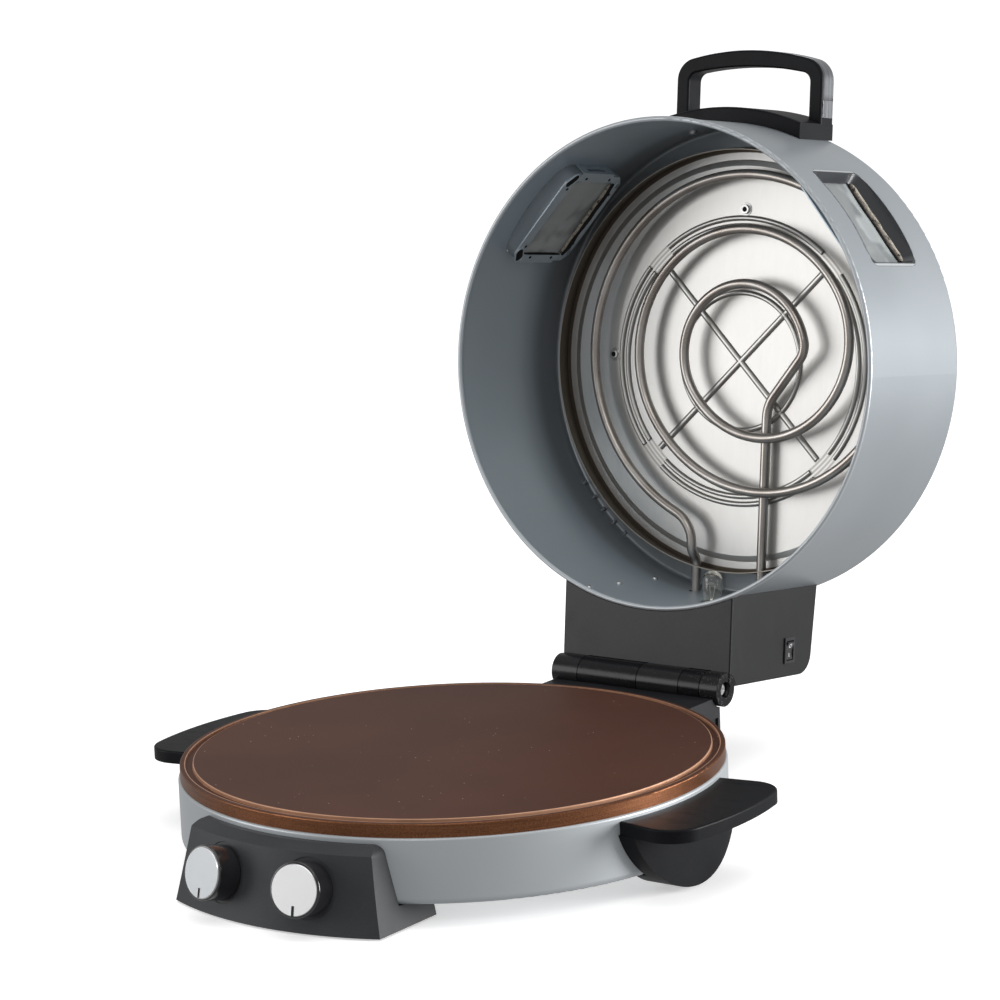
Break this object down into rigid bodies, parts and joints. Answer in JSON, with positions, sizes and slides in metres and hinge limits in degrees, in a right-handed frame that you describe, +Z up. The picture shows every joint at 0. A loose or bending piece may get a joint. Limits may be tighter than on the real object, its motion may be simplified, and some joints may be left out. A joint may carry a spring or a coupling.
{
  "type": "arabic bread maker",
  "caption": "Countertop flatbread maker: round heated plate on a shallow pan, deep hinged lid with windows and its own heating tube, front knobs and side handles.",
  "frame": {"origin": "middle of the foot of the part's box, on the table, with the lid open", "axes": "+Z up, +Y from the control panel towards the hinge, +X to the right seen from the front"},
  "size_m": [0.5014, 0.6956, 0.5558],
  "materials": {
    "grey_enamel": "satin light grey paint",
    "bronze_coating": "bronze brown non-stick coating",
    "black_moulding": "fine grained heat resistant plastic",
    "black_gloss": "smooth black plastic",
    "satin_silver": "spun satin",
    "bright_strip": "polished",
    "reflector_steel": "bright rolled sheet",
    "heater_tube": "satin drawn tube",
    "plain_steel": "zinc plated",
    "window_glass": "clear tempered",
    "rubber_pad": "matt",
    "ceramic": "glazed white"
  },
  "bodies": {
    "base": {"base_pan": "grey_enamel", "cooking_plate": "bronze_coating", "lower_heating_element": "heater_tube", "element_clamps": "plain_steel", "clamp_screws": "plain_steel", "heat_shield": "reflector_steel", "shield_spacers": "plain_steel", "plate_studs": "plain_steel", "thermostat_sensor": "plain_steel", "sensor_strap": "plain_steel", "terminal_block": "ceramic", "control_panel": "black_moulding", "panel_screws": "plain_steel", "timer_unit": "plain_steel", "thermostat_unit": "ceramic", "side_handle_right": "black_moulding", "side_handle_left": "black_moulding", "side_handle_screws": "plain_steel", "rear_hinge_block": "black_moulding", "hinge_block_screws": "plain_steel", "cord_gland": "rubber_pad", "hinge_pin": "plain_steel", "hinge_pin_screws": "plain_steel", "front_feet": "rubber_pad", "rear_feet": "rubber_pad"},
    "lid": {"lid_drum": "grey_enamel", "window_bezel_left": "grey_enamel", "window_bezel_right": "grey_enamel", "window_pane_left": "window_glass", "window_pane_right": "window_glass", "window_retainer_left": "grey_enamel", "window_retainer_right": "grey_enamel", "lid_reflector": "reflector_steel", "reflector_spacers": "plain_steel", "reflector_screws": "plain_steel", "upper_heating_element": "heater_tube", "element_collars": "plain_steel", "element_terminals": "ceramic", "lamp_bulb": "window_glass", "lamp_socket": "ceramic", "lid_housing": "black_moulding", "housing_cover": "black_moulding", "cover_screws": "plain_steel", "housing_rivets": "plain_steel", "switch_body": "black_gloss", "lid_handle": "black_moulding", "lid_handle_trim": "bright_strip", "lid_handle_screws": "plain_steel"},
    "timer_dial": {"timer_shaft": "plain_steel", "timer_knob": "black_gloss", "timer_knob_cap": "satin_silver"},
    "thermostat_dial": {"thermostat_shaft": "plain_steel", "thermostat_knob": "black_gloss", "thermostat_knob_cap": "satin_silver"},
    "rocker": {"switch_rocker": "black_gloss"}
  },
  "joints": [
    {"name": "lid_hinge", "type": "hinge", "parent": "base", "child": "lid", "pos_m": [0, 0.14274, 0.0708], "axis": [1, 0, 0], "range_deg": [0, 96.76]},
    {"name": "timer_turn", "type": "hinge", "parent": "base", "child": "timer_dial", "pos_m": [-0.03803, -0.32447, 0.0318], "axis": [0.1683, 0.9605, -0.2215], "range_deg": [0, 300]},
    {"name": "thermostat_turn", "type": "hinge", "parent": "base", "child": "thermostat_dial", "pos_m": [0.03803, -0.32447, 0.0318], "axis": [-0.1683, 0.9605, -0.2215], "range_deg": [0, 270]},
    {"name": "switch_rock", "type": "hinge", "parent": "lid", "child": "rocker", "pos_m": [0.0785, 0.23652, 0.08295], "axis": [0, -0.993, 0.1177], "range_deg": [0, 16]}
  ]
}
